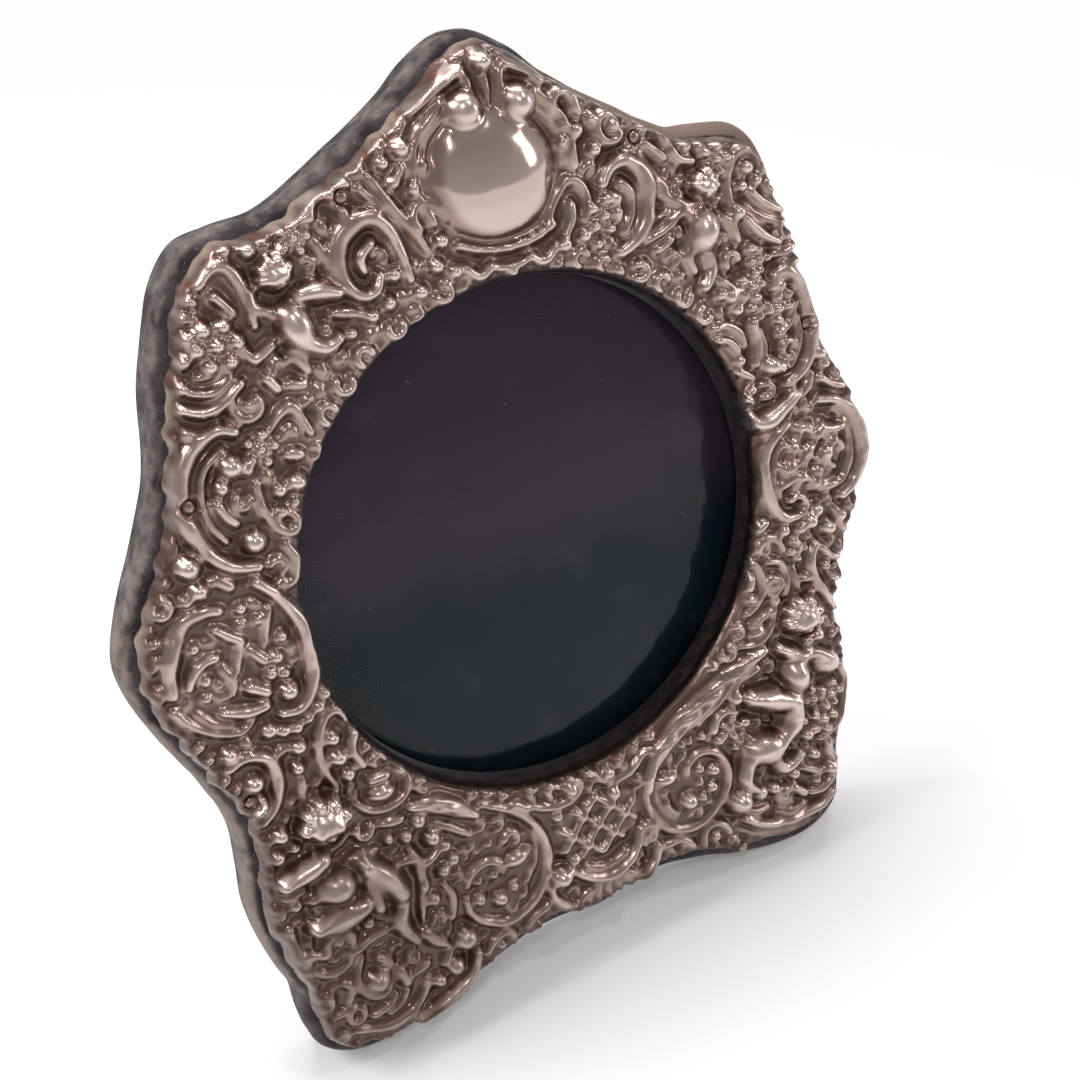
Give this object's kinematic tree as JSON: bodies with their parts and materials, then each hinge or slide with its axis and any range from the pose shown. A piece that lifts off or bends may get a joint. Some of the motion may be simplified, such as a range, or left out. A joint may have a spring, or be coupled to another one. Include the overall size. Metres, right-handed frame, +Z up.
{
  "type": "photograph frame",
  "caption": "Repousse silver photograph frame with a round window, mounted on a shaped velvet-covered board with a lift-out back door and a folding easel strut",
  "frame": {"origin": "on the floor under the middle of the overall box", "axes": "+Z up, the window faces -Y and leans back towards +Y, +X to the right as seen from the front"},
  "size_m": [0.1634, 0.0958, 0.1778],
  "materials": {
    "silver": "worn polished silver with brown tarnish in the hollows",
    "velvet": "worn short-pile velvet",
    "lining": "dark velvet strip",
    "wood": "plain sanded softwood",
    "glass": "polished, bevelled edge",
    "dark_card": "matt blank card",
    "straw_card": "rough strawboard",
    "brass": "worn satin brass"
  },
  "bodies": {
    "frame": {"silver_front": "silver", "backboard": "wood", "velvet_cover": "velvet", "window_lining": "lining", "glass": "glass", "photo_card": "dark_card", "packing_card": "straw_card", "silver_pin_1": "silver", "silver_pin_2": "silver", "silver_pin_3": "silver", "silver_pin_4": "silver", "silver_pin_5": "silver", "silver_pin_6": "silver", "silver_pin_7": "silver", "silver_pin_8": "silver", "clip_screw_upper_right": "brass", "clip_screw_upper_left": "brass", "clip_screw_lower_left": "brass", "clip_screw_lower_right": "brass"},
    "back_door": {"door_panel": "wood", "door_velvet": "velvet", "hinge_door_leaf": "brass", "hinge_pin": "brass", "door_rivet_1": "brass", "door_rivet_2": "brass", "door_rivet_3": "brass"},
    "strut": {"strut_board": "wood", "strut_velvet": "velvet", "hinge_strut_leaf": "brass", "strut_rivet_1": "brass", "strut_rivet_2": "brass", "strut_rivet_3": "brass"},
    "clip_upper_right": {"turn_clip_upper_right": "brass"},
    "clip_upper_left": {"turn_clip_upper_left": "brass"},
    "clip_lower_left": {"turn_clip_lower_left": "brass"},
    "clip_lower_right": {"turn_clip_lower_right": "brass"}
  },
  "joints": [
    {"name": "back_door_lift", "type": "slide", "parent": "frame", "child": "back_door", "axis": [0, 0.9613, -0.2756], "range_m": [0, 0.03]},
    {"name": "strut_fold", "type": "hinge", "parent": "back_door", "child": "strut", "pos_m": [0, 0.00514, 0.12192], "axis": [1, 0, 0], "range_deg": [-33, 0]},
    {"name": "clip_turn_upper_right", "type": "hinge", "parent": "frame", "child": "clip_upper_right", "pos_m": [0.05185, 0.00448, 0.12576], "axis": [0, 0.9613, -0.2756], "range_deg": [-90, 0]},
    {"name": "clip_turn_upper_left", "type": "hinge", "parent": "frame", "child": "clip_upper_left", "pos_m": [-0.05185, 0.00448, 0.12576], "axis": [0, -0.9613, 0.2756], "range_deg": [-90, 0]},
    {"name": "clip_turn_lower_left", "type": "hinge", "parent": "frame", "child": "clip_lower_left", "pos_m": [-0.05185, -0.01786, 0.04788], "axis": [0, 0.9613, -0.2756], "range_deg": [-90, 0]},
    {"name": "clip_turn_lower_right", "type": "hinge", "parent": "frame", "child": "clip_lower_right", "pos_m": [0.05185, -0.01786, 0.04788], "axis": [0, -0.9613, 0.2756], "range_deg": [-90, 0]}
  ]
}
